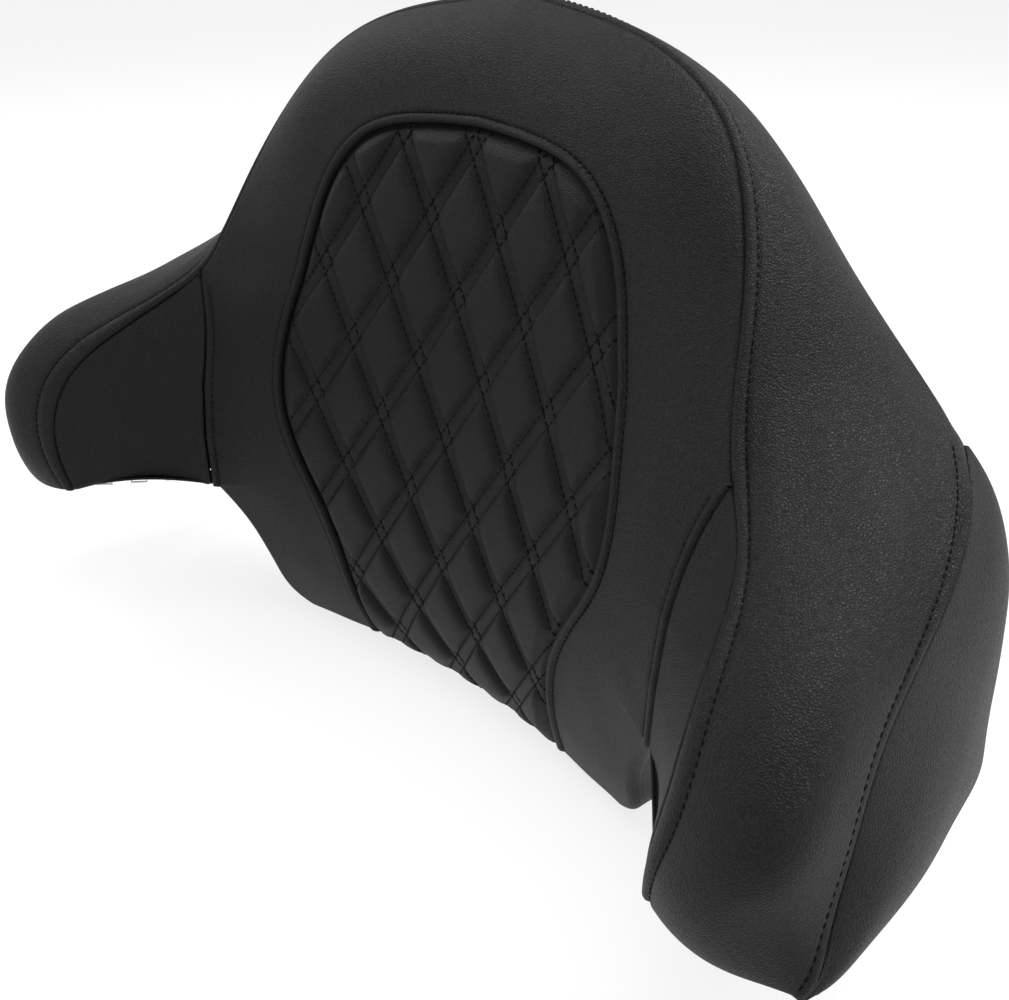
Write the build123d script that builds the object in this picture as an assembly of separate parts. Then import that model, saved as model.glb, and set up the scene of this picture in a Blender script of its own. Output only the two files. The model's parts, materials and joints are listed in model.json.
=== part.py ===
"""Wraparound passenger backrest for a touring motorcycle's luggage trunk.

Frame: millimetres, +Z up, +Y towards the trunk, -Y towards the passenger, X across.
The origin is the centre of the four threaded mounting holes, in the plane of their
bosses' rear faces. The object is symmetric about the plane X = 0.
"""

from build123d import *
import math
import os

# ---------------------------------------------------------------- driving dimensions
SKIN = 3.0                # sewn cover with its bonded scrim foam
REAR = -3.0               # rear face of the base board; bosses and bumpers reach Y = 0
BOARD_THICKNESS = 6.0
BOARD_INSET = 4.0         # the board's edge is this far inside the cover's outer face
RIB_WIDTH = 4.0
RIB_HEIGHT = 2.0          # ribs stand this far behind the board
UPRIGHT_RIB = (-150.0, 165.0)
LEVEL_RIBS = ((-130, 110), (120, 110))  # height of each short rib, and its reach to either side
BOLT_RIB_REACH = 175.0    # the ribs through the bolts are longer
HEM_THICKNESS = 1.5       # cover folded over the board's edge
HEM_WIDTH = 22.0
TRAY_THICKNESS = 3.5
TRAY_FRONT = -198.0       # the wing trays reach this far forward
TRAY_TOP_INNER = -86.0    # a tray's floor slopes like the wing's underside
TRAY_TOP_OUTER = -92.0
TRAY_OUTER = 330.0        # beyond the wing's outer side
TRAY_BELOW = -110.0       # below every wing
FLANGE_OUTER = 284.0
SHELF_FRONT = -66.0       # the board's shelf under the centre pad
CENTRE_BOTTOM = -188.0    # lower edge of the centre pad
WING_BOTTOM_INNER = -93.0  # underside of a wing where it meets the centre pad
WING_BOTTOM_OUTER = -99.0
WING_SPLIT = 192.0        # centre foam and wing foam meet at this X
QUILT_FOAM = 12.0         # soft foam sewn behind the quilted panel
SEAM_WIDTH = 3.0          # folded seam ridges
SEAM_PROUD = 1.5
EDGE_MARGIN = 5.0         # the face panels stop this far inside the edge seam

BOLT_SPACING_X = 180.0
BOLT_SPACING_Z = 110.0
BOLT_RADIUS = 3.2         # quarter-inch thread
INSERT_RADIUS = 4.6
INSERT_FLANGE_RADIUS = 9.0
INSERT_FLANGE_THICKNESS = 1.5
BOSS_RADIUS = 12.0
STRAP_WIDTH = 26.0
STRAP_THICKNESS = 2.0
BOLT_ROOM = 14.0          # clear depth for a bolt's tip, in the foam
RIVET_RADIUS = 2.4
RIVET_HEAD_RADIUS = 4.8
RIVET_Z = 84.0            # rivets above and below the bolts, on the strap's centre line
SCREW_RADIUS = 2.2
SCREW_Z = -64.0
SCREW_PLACES = (208, 240, 272)
SCREW_REACH = 9.0         # a screw goes this far past the board
SCREW_HEAD_HEIGHT = 2.2
FLANGE_TOP = -52.0
SCREW_HEAD_RADIUS = 4.2
BUMPER_RADIUS = 11.0
BUMPER_PLACES = ((150, 92), (236, -30), (45, -150))
STAPLE_CROWN = 11.0
STAPLE_WIRE = 0.9
STAPLE_LEG = 6.0
STAPLE_PITCH = 24.0
LISTING_RADIUS = 1.2      # wire that pulls the wing seam down into the foam
LISTING_DEPTH = 24.0
LISTING_LENGTH = 84.0
LISTING_MIDDLE = -32.0    # height of its middle
RING_HEIGHTS = (-64, -42, -20, 0)
RING_RADIUS = 3.6
RING_WIRE = 0.7
FAR = 400.0               # beyond the object on every side

# The outer form, as sections at several Y. Each is the right half's outline, as (X, Z),
# from the top centre over the shoulder and along the wing's crown to its lower corner.
STATIONS = (
    (REAR, (
        (0, 210), (55, 203), (100, 187), (149, 155), (190, 113),
        (225, 80), (256, 50), (277, 22), (290, -25), (295, -98),
    )),
    (-60, (
        (0, 222), (55, 215), (105, 201), (158, 162), (188, 112),
        (222, 63), (256, 47), (288, 28), (306, -25), (312, -99),
    )),
    (-98, (
        (0, 226), (55, 220), (110, 205), (165, 160), (196, 86),
        (222, 50), (254, 43), (292, 11), (313, -45), (319, -99),
    )),
    (-126, (
        (0, 226), (55, 220), (110, 205), (165, 160), (200, 76),
        (226, 38), (254, 40), (292, 12), (314, -42), (321, -99),
    )),
    (-165, (
        (0, 226), (55, 220), (110, 205), (165, 160), (204, 68),
        (238, 12), (262, 23), (295, -5), (315, -55), (322, -99),
    )),
    (-200, (
        (0, 226), (55, 220), (110, 205), (165, 160), (206, 64),
        (250, -24), (272, -6), (300, -25), (318, -65), (322, -99),
    )),
    (-220, (
        (0, 226), (55, 220), (110, 205), (165, 160), (210, 50),
        (256, -52), (275, -42), (290, -52), (302, -74), (305, -99),
    )),
)
# Lower outline of the right half, (X, Z), from the wing's root to the centre pad's corner.
ROOT = ((184, -93), (168, -113), (160, -130), (157, -158), (140, -182), (118, -188))
# Side profile of the passenger face on the centre line, (Z, Y).
PROFILE = (
    (-240, -48), (-188, -72), (-150, -86), (-87, -94), (0, -87), (100, -72),
    (165, -57), (205, -40), (222, -27), (260, 10),
)
# The face's hollow is a parabola across it, deeper at the bottom; the wings' inner sides run forward.
HOLLOW_TOP = 2.4e-4
HOLLOW_BOTTOM = 9.4e-4
FACE_HALF_WIDTH = 191.0
SHOULDER_LEAN = 14.0      # the wing seam leans out this much at the shoulder
WING_SLOPE = 1.3
# Seam round the whole passenger face, right half, (X, Z), from the top centre.
FACE_SEAM = (
    (0, 220), (62, 212), (103, 202), (142, 180), (166, 150), (183, 112),
    (195, 74), (208, 47), (231, 21), (245, -3), (252, -30), (250, -60),
    (246, -110),
)
# What is cut away in front of the face: wide of the arch, then along the seam on the wing.
FACE_CUT = (
    (0, 300), (80, 298), (160, 270), (215, 190), (232, 110), (228, 66),
    (220, 38), (231, 21), (245, -3), (252, -30), (250, -60), (246, -110),
)
# Border of the quilted panel, right half, (X, Z), from the top centre.
QUILT_BORDER = (
    (0, 159), (42, 156), (82, 145), (111, 108), (128, 47), (135, -2),
    (129, -36), (109, -74), (95, -107), (89, -149), (84, -205),
)
# Seam between face and wing, right side, (X, Z), from the shoulder down.
WING_SEAM = ((208, 50), (197, 19), (192, -20), (191, -55), (192, -120))
# Seam at the wing's outer edge, (Y, Z), from the rear to the front lower corner.
OUTER_SEAM = (
    (10, 52), (-45, 43), (-84, 15), (-126, -8), (-144, -16), (-165, -52),
    (-180, -80), (-204, -104), (-240, -125),
)

# Plan of the tray that the folded cover leaves bare, right side, (X, Y).
TRAY_WINDOW = ((214, -22), (276, -22), (296, -110), (290, -182), (262, -180), (214, -122))
WINDOW_CORNER = 8.0


# ---------------------------------------------------------------- form
def smooth_step(value):
    value = min(max(value, 0.0), 1.0)
    return value * value * (3 - 2 * value)


def profile_y(z):
    """The centre line's Y at height z: a smooth curve through PROFILE."""
    points = PROFILE
    i = max(k for k in range(1, len(points) - 2) if points[k][0] <= z or k == 1)
    (z0, y0), (z1, y1), (z2, y2), (z3, y3) = points[i - 1:i + 3]
    t = (z - z1) / (z2 - z1)
    slope_1 = (y2 - y0) / (z2 - z0) * (z2 - z1)
    slope_2 = (y3 - y1) / (z3 - z1) * (z2 - z1)
    return (
        (2 * t**3 - 3 * t**2 + 1) * y1
        + (t**3 - 2 * t**2 + t) * slope_1
        + (3 * t**2 - 2 * t**3) * y2
        + (t**3 - t**2) * slope_2
    )


def face_y(x, z):
    """The passenger face: hollow across, and swept forward onto the wings' inner sides."""
    x = abs(x)
    seam_x = FACE_HALF_WIDTH + SHOULDER_LEAN * max(0.0, (z + 20) / 62) ** 2
    hollow = HOLLOW_TOP + (HOLLOW_BOTTOM - HOLLOW_TOP) * smooth_step((110 - z) / 170)
    wing_slope = WING_SLOPE * (1 - min(1.0, max(0.0, (z + 60) / 110)) ** 4)
    return profile_y(z) - hollow * min(x, seam_x) ** 2 - wing_slope * max(0.0, x - seam_x)


def face_layer(front, thickness):
    """A layer that follows the passenger face, from front of it and thickness deep."""
    columns = [-270 + 30 * i for i in range(19)]
    rows = [-220 + 24 * j for j in range(20)]
    grid = [[(x, face_y(x, z) + front, z) for z in rows] for x in columns]
    surface = Face.make_surface_from_array_of_points(grid, tol=0.3)
    return extrude(surface, amount=thickness, dir=(0, 1, 0))


def half_section(y, outline, inset):
    """One closed section of the right half, drawn in by inset."""
    moved = []
    for i, (x, z) in enumerate(outline):
        before = outline[max(i - 1, 0)]
        after = outline[min(i + 1, len(outline) - 1)]
        length = math.dist(before, after)
        inward_x = (after[1] - before[1]) / length
        inward_z = -(after[0] - before[0]) / length
        if i == 0:
            inward_x, inward_z = 0, -1
        if i == len(outline) - 1:
            inward_x, inward_z = -1, 1
        moved.append((x + inward_x * inset, y, z + inward_z * inset))
    root = [(x - inset, y, z) for x, z in ROOT]
    root[0] = (ROOT[0][0] - inset, y, ROOT[0][1] + inset)
    root[-1] = (ROOT[-1][0], y, ROOT[-1][1] + inset)
    bottom = (0, y, CENTRE_BOTTOM + inset)
    return Wire(
        [
            Line(bottom, moved[0]),
            Spline(*moved),
            Line(moved[-1], root[0]),
            Spline(*root),
            Line(root[-1], bottom),
        ]
    )


def both_sides(shape):
    return shape + mirror(shape, about=Plane.YZ)


def prism(edges, y_from=-FAR, y_to=FAR):
    """A face drawn in the XZ plane, run along Y."""
    face = make_face(edges)
    return extrude(Pos(0, y_from, 0) * face, amount=y_to - y_from, dir=(0, 1, 0))


def polygon(points, y_from=-FAR, y_to=FAR):
    return prism(Polyline(*[(x, 0, z) for x, z in points], close=True), y_from, y_to)


def mirrored_outline(points, widen=0.0):
    """Closed outline from a right half that starts at the top centre, closed below."""
    right = [(x + (widen if i else 0), 0, z + widen) for i, (x, z) in enumerate(points)]
    left = [(-x, 0, z) for x, _, z in right]
    half = Spline(*right, tangents=[(1, 0, 0), (0, 0, -1)])
    other = Spline(*left, tangents=[(-1, 0, 0), (0, 0, -1)])
    low = min(z for _, _, z in right)
    floor = Polyline(right[-1], (right[-1][0], 0, low - 120), (left[-1][0], 0, low - 120), left[-1])
    return half + other + floor


def outer_form(inset):
    """The whole upholstered body, drawn in by inset behind its front and sides."""
    sections = []
    for y, outline in STATIONS:
        front_most = y == STATIONS[-1][0]
        sections.append(half_section(y + inset if front_most else y, outline, inset))
    body = both_sides(Solid.make_loft(sections, False))
    in_front = prism(mirrored_outline(FACE_CUT, inset)) - face_layer(inset, FAR)
    return body - in_front


def strip(points, half_width):
    """A narrow prism that follows a line of (X, Z) points on the right side."""
    inner = [(x - half_width, 0, z) for x, z in points]
    outer = [(x + half_width, 0, z) for x, z in points]
    edges = Spline(*inner) + Line(inner[-1], outer[-1]) + Spline(*outer) + Line(outer[0], inner[0])
    return prism(edges)


def block(x_range, y_range, z_range):
    """A box from its limits."""
    sizes = [high - low for low, high in (x_range, y_range, z_range)]
    middle = [(high + low) / 2 for low, high in (x_range, y_range, z_range)]
    return Pos(*middle) * Box(*sizes)


def rod(x, z, radius, y_from, y_to):
    """A round bar along Y."""
    turn = Location((x, (y_from + y_to) / 2, z), (90, 0, 0))
    return turn * Cylinder(radius, y_to - y_from)


def bolt_places():
    return [(sx * BOLT_SPACING_X / 2, sz * BOLT_SPACING_Z / 2) for sx in (-1, 1) for sz in (-1, 1)]



# ---------------------------------------------------------------- base and hardware
def base_board(body):
    """Moulded backboard: plate, shelf under the centre pad, ribs and mounting bosses."""
    plate = extrude(rear_outline(BOARD_INSET), amount=BOARD_THICKNESS, dir=(0, -1, 0))
    shelf_top = CENTRE_BOTTOM + SKIN + TRAY_THICKNESS
    shelf = body & block((-FAR, FAR), (SHELF_FRONT, REAR - BOARD_THICKNESS), (-FAR, shelf_top))
    ribs = []
    half_x, half_z = BOLT_SPACING_X / 2, BOLT_SPACING_Z / 2
    for x in (-half_x, 0, half_x):
        ribs.append(block((x - RIB_WIDTH / 2, x + RIB_WIDTH / 2), (REAR, REAR + RIB_HEIGHT), UPRIGHT_RIB))
    for z, reach in (*LEVEL_RIBS, (-half_z, BOLT_RIB_REACH), (half_z, BOLT_RIB_REACH)):
        ribs.append(block((-reach, reach), (REAR, REAR + RIB_HEIGHT), (z - RIB_WIDTH / 2, z + RIB_WIDTH / 2)))
    bosses = [rod(x, z, BOSS_RADIUS, REAR, 0) for x, z in bolt_places()]
    return plate + shelf + ribs + bosses


def wing_tray(body):
    """Moulded tray that closes the underside of the right wing, with a flange against the board."""
    inner_x = WING_SPLIT + 2
    front_of_board = REAR - BOARD_THICKNESS
    below = ((inner_x, TRAY_BELOW), (TRAY_OUTER, TRAY_BELOW))
    above_it = ((TRAY_OUTER, TRAY_TOP_OUTER), (inner_x, TRAY_TOP_INNER))
    floor = polygon(below + above_it, TRAY_FRONT, front_of_board)
    flange_depth = (front_of_board - TRAY_THICKNESS, front_of_board)
    flange = block((inner_x, FLANGE_OUTER), flange_depth, (TRAY_BELOW, FLANGE_TOP))
    return body & (floor + flange)


def tray_screws():
    """Pan-head screws through the board into the right tray's flange."""
    screws = []
    for x in SCREW_PLACES:
        shank = rod(x, SCREW_Z, SCREW_RADIUS, REAR - BOARD_THICKNESS - SCREW_REACH, REAR)
        head = rod(x, SCREW_Z, SCREW_HEAD_RADIUS, REAR, REAR + SCREW_HEAD_HEIGHT)
        screws.append(shank + head)
    return screws


def reinforcement():
    """Steel strap in front of the board, under the right side's two inserts."""
    x = BOLT_SPACING_X / 2
    front = REAR - BOARD_THICKNESS
    reach = RIVET_Z + STRAP_WIDTH / 2
    across = (x - STRAP_WIDTH / 2, x + STRAP_WIDTH / 2)
    strap = block(across, (front - STRAP_THICKNESS, front), (-reach, reach))
    return fillet(strap.edges().filter_by(Axis.Y), STRAP_WIDTH / 3)


def rivets():
    """Rivets that hold the right strap to the board."""
    front = REAR - BOARD_THICKNESS - STRAP_THICKNESS
    x = BOLT_SPACING_X / 2
    made = []
    for z in (-RIVET_Z, RIVET_Z):
        shank = rod(x, z, RIVET_RADIUS, front, REAR)
        rear_head = rod(x, z, RIVET_HEAD_RADIUS, REAR, REAR + 1.4)
        front_head = rod(x, z, RIVET_HEAD_RADIUS, front - 1.4, front)
        made.append(shank + rear_head + front_head)
    return made


def inserts():
    """Flanged threaded inserts of the right side, pulled against the strap by the mounting bolts."""
    front = REAR - BOARD_THICKNESS - STRAP_THICKNESS
    x = BOLT_SPACING_X / 2
    made = []
    for z in (-BOLT_SPACING_Z / 2, BOLT_SPACING_Z / 2):
        barrel = rod(x, z, INSERT_RADIUS, front, 0)
        flange = rod(x, z, INSERT_FLANGE_RADIUS, front - INSERT_FLANGE_THICKNESS, front)
        made.append(barrel + flange - rod(x, z, BOLT_RADIUS, -FAR, FAR))
    return made


def bumpers():
    """Rubber pads on the right half of the board's rear face."""
    made = []
    for x, z in BUMPER_PLACES:
        pad = rod(x, z, BUMPER_RADIUS, REAR, 0)
        made.append(fillet(pad.edges().group_by(Axis.Y)[-1], 0.8))
    return made


def listing_place():
    """X and Y of the right listing wire, behind the seam between face and wing."""
    x = WING_SPLIT + 9
    return x, face_y(x, LISTING_MIDDLE) + LISTING_DEPTH


def listing_wire():
    """Steel wire that the wing seam is tied to, in the foam."""
    return Pos(*listing_place(), LISTING_MIDDLE) * Cylinder(LISTING_RADIUS, LISTING_LENGTH)


def hog_rings():
    """Wire rings that tie the cover's seam to the right listing wire."""
    x, y = listing_place()
    ring = Torus(RING_RADIUS, RING_WIRE)
    return [Pos(x, y - RING_RADIUS + LISTING_RADIUS + RING_WIRE, z) * ring for z in RING_HEIGHTS]


# ---------------------------------------------------------------- cover's margins and staples
def rear_outline(inset):
    """The body's rear outline as a face, drawn in by inset."""
    edges = half_section(REAR, STATIONS[0][1], inset).edges()
    right = edges.filter_by(lambda edge: abs(edge.center().X) > 1)
    return make_face(right + mirror(right, about=Plane.YZ)).face()


def rear_hem():
    """The cover's margin, folded over the board's rear edge."""
    ring = rear_outline(0.3) - rear_outline(HEM_WIDTH)
    return extrude(ring, amount=HEM_THICKNESS, dir=(0, 1, 0))


def staple(place, along, into):
    """One staple: its crown lies along one direction and its legs go in."""
    frame = Plane(origin=place, x_dir=along, z_dir=into)
    body = Pos(0, 0, -STAPLE_WIRE / 2) * Box(STAPLE_CROWN, STAPLE_WIRE, STAPLE_WIRE)
    leg = Box(STAPLE_WIRE, STAPLE_WIRE, STAPLE_LEG)
    for end in (-1, 1):
        body += Pos(end * (STAPLE_CROWN - STAPLE_WIRE) / 2, 0, STAPLE_LEG / 2 - STAPLE_WIRE / 2) * leg
    return frame.location * body


def rear_staples():
    """A row of staples along the middle of the rear hem."""
    line = rear_outline(HEM_WIDTH / 2).outer_wire()
    count = round(line.length / STAPLE_PITCH)
    made = []
    for i in range(count):
        at = (i + 0.5) / count
        place = line @ at + Vector(0, HEM_THICKNESS, 0)
        made.append(staple(place, line % at, (0, -1, 0)))
    return made


def underside_z(x):
    """Height of the right wing's underside, which slopes down outwards."""
    outer_x = STATIONS[0][1][-1][0]
    slope = (WING_BOTTOM_OUTER - WING_BOTTOM_INNER) / (outer_x - ROOT[0][0])
    return WING_BOTTOM_INNER + slope * (x - ROOT[0][0])


def below(lift):
    """The space under the right wing's underside, raised by lift."""
    near, far = ROOT[0][0] + SKIN, FAR
    z_near, z_far = underside_z(near) + lift, underside_z(far) + lift
    return polygon(((near, CENTRE_BOTTOM), (far, CENTRE_BOTTOM), (far, z_far), (near, z_near)))


def tray_window():
    """Plan of the right tray that the folded cover leaves bare."""
    outline = make_face(Polyline(*TRAY_WINDOW, close=True))
    rounded = fillet(outline.vertices(), WINDOW_CORNER)
    return extrude(Pos(0, 0, -FAR) * rounded, amount=2 * FAR)


# ---------------------------------------------------------------- cover's panels
def outer_region(widen):
    """Behind and below the wing's outer seam, on the right side."""
    seam = [(0, y + widen, z + widen) for y, z in OUTER_SEAM]
    line = Spline(*seam)
    close = Polyline(seam[-1], (0, seam[-1][1], -200), (0, 60, -200), (0, 60, seam[0][2]), seam[0])
    face = make_face(line + close)
    return extrude(Pos(262, 0, 0) * face, amount=FAR, dir=(1, 0, 0))


def mirrored(solids):
    return [mirror(solid, about=Plane.YZ) for solid in solids]


def pair(solids):
    """A list of right-side solids with their left-side twins."""
    return solids + mirrored(solids)


def under_staples():
    """Staples round the right tray's window, through the folded cover into the tray."""
    line = offset(tray_window().faces().sort_by(Axis.Z)[0], amount=8).face().outer_wire()
    count = round(line.length / STAPLE_PITCH)
    made = []
    for i in range(count):
        at = (i + 0.5) / count
        point, along = line @ at, line % at
        made.append(staple((point.X, point.Y, underside_z(point.X)), (along.X, along.Y, 0), (0, 0, 1)))
    return made


def above(height):
    return block((-FAR, FAR), (-FAR, FAR), (height, FAR))


def seam_ridge(edge):
    """A folded seam that stands on the passenger face along a narrow prism."""
    return (edge & face_layer(-SEAM_PROUD, SEAM_PROUD)) & above(WING_BOTTOM_INNER)


def cover_nodes(cover):
    """The sewn cover's panels and seam ridges, parted along the seams."""
    quilt = prism(mirrored_outline(QUILT_BORDER))
    quilt_edge = prism(mirrored_outline(QUILT_BORDER, SEAM_WIDTH)) - quilt
    face = prism(mirrored_outline(FACE_SEAM, -EDGE_MARGIN)) & face_layer(-8, 8 + 1.5 * SKIN)
    face_edge = prism(mirrored_outline(FACE_SEAM, -SEAM_PROUD))
    face_edge = face_edge - prism(mirrored_outline(FACE_SEAM, -EDGE_MARGIN))
    wing_edge = strip(WING_SEAM, SEAM_WIDTH / 2)
    beyond_seam = polygon([*WING_SEAM, (FAR, -120), (FAR, 50)])
    under = below(SKIN)

    front = (cover & face) - pair([under])
    sides = cover - face - pair([under])
    lower_space = block((-187, 187), (-FAR, FAR), (-FAR, -85))
    upper_sides = sides - lower_space
    past_seam = outer_region(SEAM_WIDTH / 2)
    behind_seam = outer_region(-SEAM_WIDTH / 2)
    nodes = {
        "quilted_panel": front & quilt,
        "front_panel": front - quilt - pair([beyond_seam]),
        "side_band": upper_sides - pair([past_seam]),
        "lower_wrap": sides & lower_space,
        "face_edge_ridge": seam_ridge(face_edge),
        "quilt_border_ridge": (quilt_edge & face_layer(-SEAM_PROUD, SEAM_PROUD)) & above(CENTRE_BOTTOM),
    }
    right = {
        "wing_inner_panel": front & beyond_seam,
        "wing_seam_ridge": seam_ridge(wing_edge) - face_edge,
        "outer_side_panel": upper_sides & behind_seam,
        "outer_seam_ridge": (upper_sides & past_seam) - behind_seam,
        "under_hem": (cover & under) - tray_window(),
    }
    return nodes, right


def foam_nodes(inner, taken_right, taken_centre):
    """Moulded foam, less everything that is bedded in it."""
    wing_space = block((WING_SPLIT, FAR), (-FAR, FAR), (-FAR, FAR))
    centre_space = block((-WING_SPLIT, WING_SPLIT), (-FAR, FAR), (-FAR, FAR))
    quilt = prism(mirrored_outline(QUILT_BORDER)) & above(CENTRE_BOTTOM + SKIN + TRAY_THICKNESS)
    pocket = quilt & face_layer(-8, 8 + SKIN + QUILT_FOAM)
    centre = (inner & centre_space) - pocket - taken_centre
    wing = (inner & wing_space) - taken_right
    return {"quilt_foam": quilt & face_layer(SKIN, QUILT_FOAM), "foam_core": centre}, {"wing_foam": wing}


def main():
    outer = outer_form(0)
    inner = outer_form(SKIN)
    nodes, right = cover_nodes(outer - inner)

    staples = rear_staples() + pair(under_staples())
    board, tray, strap = base_board(inner), wing_tray(inner), reinforcement()
    screws, rivet_set, insert_set = tray_screws(), rivets(), inserts()
    wire, rings = listing_wire(), hog_rings()
    front_of_strap = REAR - BOARD_THICKNESS - STRAP_THICKNESS
    bolt_room = [
        rod(x, z, INSERT_FLANGE_RADIUS, front_of_strap - BOLT_ROOM, front_of_strap) for x, z in bolt_places()
    ]

    foam, wing_foam = foam_nodes(
        inner,
        [board, tray, *screws, wire, *rings],
        [board, *pair([strap]), *pair(rivet_set), *bolt_room],
    )
    insert_holes = [rod(x, z, INSERT_RADIUS, -FAR, FAR) for x, z in bolt_places()]
    nodes.update(foam)
    nodes["base_board"] = board - insert_holes - pair(rivet_set) - pair(screws) - staples
    nodes["rear_hem"] = rear_hem() - staples
    nodes["staples"] = staples
    nodes["tray_screws"] = pair(screws)
    nodes["rivets"] = pair(rivet_set)
    nodes["threaded_inserts"] = pair(insert_set)
    nodes["rubber_bumpers"] = pair(bumpers())
    nodes["hog_rings"] = pair(rings)
    right.update(wing_foam)
    right["under_hem"] -= staples
    right["wing_tray"] = tray - screws - staples
    right["reinforcement_strap"] = strap - insert_holes - rivet_set
    right["listing_wire"] = wire
    for name, shape in right.items():
        nodes[f"{name}_right"] = shape
        nodes[f"{name}_left"] = mirror(shape, about=Plane.YZ)

    os.makedirs("parts", exist_ok=True)
    for name, shape in nodes.items():
        solids = shape if isinstance(shape, list) else shape.solids()
        solids = [solid for item in solids for solid in item.solids()]
        export_step(Compound(children=solids), f"parts/{name}.step")
        print(name, len(solids), round(sum(solid.volume for solid in solids)))


main()
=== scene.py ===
# Looks of the wraparound passenger backrest: sewn vinyl cover, quilting, stitches, rear and underside.
import json
import math

import bpy
import numpy as np
from mathutils import Matrix, Vector

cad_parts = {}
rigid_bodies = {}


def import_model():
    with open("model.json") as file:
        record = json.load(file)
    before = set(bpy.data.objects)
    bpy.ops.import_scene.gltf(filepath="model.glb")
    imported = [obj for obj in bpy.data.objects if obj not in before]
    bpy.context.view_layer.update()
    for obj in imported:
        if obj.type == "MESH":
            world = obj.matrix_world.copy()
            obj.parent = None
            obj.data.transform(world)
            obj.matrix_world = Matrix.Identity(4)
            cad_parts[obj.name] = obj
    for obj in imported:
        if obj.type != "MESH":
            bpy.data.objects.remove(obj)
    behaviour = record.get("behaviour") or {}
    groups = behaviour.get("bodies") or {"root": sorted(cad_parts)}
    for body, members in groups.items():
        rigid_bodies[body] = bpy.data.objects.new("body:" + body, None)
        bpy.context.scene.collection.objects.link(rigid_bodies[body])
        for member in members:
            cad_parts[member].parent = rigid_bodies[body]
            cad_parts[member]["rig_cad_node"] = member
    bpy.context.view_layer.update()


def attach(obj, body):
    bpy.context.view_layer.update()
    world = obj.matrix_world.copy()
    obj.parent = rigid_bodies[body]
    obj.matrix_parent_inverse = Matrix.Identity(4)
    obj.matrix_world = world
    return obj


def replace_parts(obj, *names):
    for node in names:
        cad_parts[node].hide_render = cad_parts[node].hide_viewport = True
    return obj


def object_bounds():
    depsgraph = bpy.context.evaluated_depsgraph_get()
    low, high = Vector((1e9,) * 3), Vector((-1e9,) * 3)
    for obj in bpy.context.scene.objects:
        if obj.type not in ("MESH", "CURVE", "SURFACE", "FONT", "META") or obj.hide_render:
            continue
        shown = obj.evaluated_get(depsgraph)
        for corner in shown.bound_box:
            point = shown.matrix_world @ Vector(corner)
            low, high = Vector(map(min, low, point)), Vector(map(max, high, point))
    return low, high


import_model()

MM = 0.001

# ---------------------------------------------------------------- form, in millimetres, as in the CAD
REAR = -3.0               # plane of the base board's rear face
# Seam round the passenger face, right half, (X, Z) with Y from face_y, from top centre to shoulder.
ARCH = ((0, 220), (62, 212), (103, 202), (142, 180), (166, 150), (183, 112), (195, 74), (207, 48))
# The same seam down the wing's front edge, (X, Y, Z), from the shoulder to the underside.
WING_EDGE = (
    (221, -125, 33), (239, -160, 10), (249, -190, -13), (252, -203, -35), (250, -208, -60), (245, -204, -92),
)
# Seam between face and wing, (X, Z), from the shoulder to the wing's root.
WING_SEAM = ((207, 48), (197, 19), (192, -20), (191, -55), (190, -93))
# Lower edge of the front panel, (X, Z), from the wing's root round the corner to the quilted panel.
ROOT = ((191, -94), (176, -116), (168, -133), (163, -153), (158, -176), (144, -187), (124, -189))
# Border of the quilted panel, right half, (X, Z), from the top centre.
BORDER = (
    (0, 159), (42, 156), (82, 145), (104, 123), (118, 88), (128, 47),
    (135, 0), (130, -34), (109, -74), (95, -107), (89, -149), (84, -189),
)
# Side profile of the passenger face on the centre line, (Z, Y).
PROFILE = (
    (-240, -48), (-188, -72), (-150, -86), (-87, -94), (0, -87),
    (100, -72), (165, -60), (205, -50), (222, -46), (260, -40),
)
# Rear edge of the cover, right half, (X, Z), over the arch and down the wing's outer side.
REAR_EDGE = (
    (0, 210), (55, 203), (100, 187), (149, 155), (190, 113),
    (225, 80), (256, 50), (277, 22), (290, -25), (295, -98),
)
# Seam at the wing's outer edge, (X, Y, Z), from the rear edge to the front lower corner.
OUTER_SEAM = (
    (257, REAR, 48), (269, -22, 45), (281, -42, 40), (291, -64, 30), (303, -124, -6),
    (307, -144, -19), (312, -165, -52), (317, -182, -80), (320, -195, -94), (318, -198, -99),
)
# Lower edge of the outer side panel, (X, Y, Z), from its rear corner forward.
SIDE_FOOT = (
    (295, REAR, -98), (303, -20, -99), (312, -64, -100), (318, -100, -100),
    (321, -140, -100), (322, -175, -100), (321, -192, -99), (318, -198, -99),
)
# Places on the band's outer edge that lie across from places on the face's seam: (X, Z) over the arch.
ARCH_ACROSS = (
    ((0, 220), (0, 210)), ((62, 212), (57, 203)), ((103, 202), (96, 189)), ((142, 180), (136, 165)),
    ((166, 150), (172, 132)), ((183, 112), (205, 99)), ((195, 74), (236, 70)), ((207, 48), (264, 46)),
)
# The same along the wing, (X, Y, Z).
WING_ACROSS = (
    ((221, -125, 33), (288, -64, 30)), ((239, -160, 10), (300, -126, -8)),
    ((249, -190, -13), (308, -155, -33)), ((252, -203, -35), (312, -166, -53)),
    ((250, -208, -60), (317, -182, -80)), ((245, -204, -92), (318, -198, -99)),
)


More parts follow.
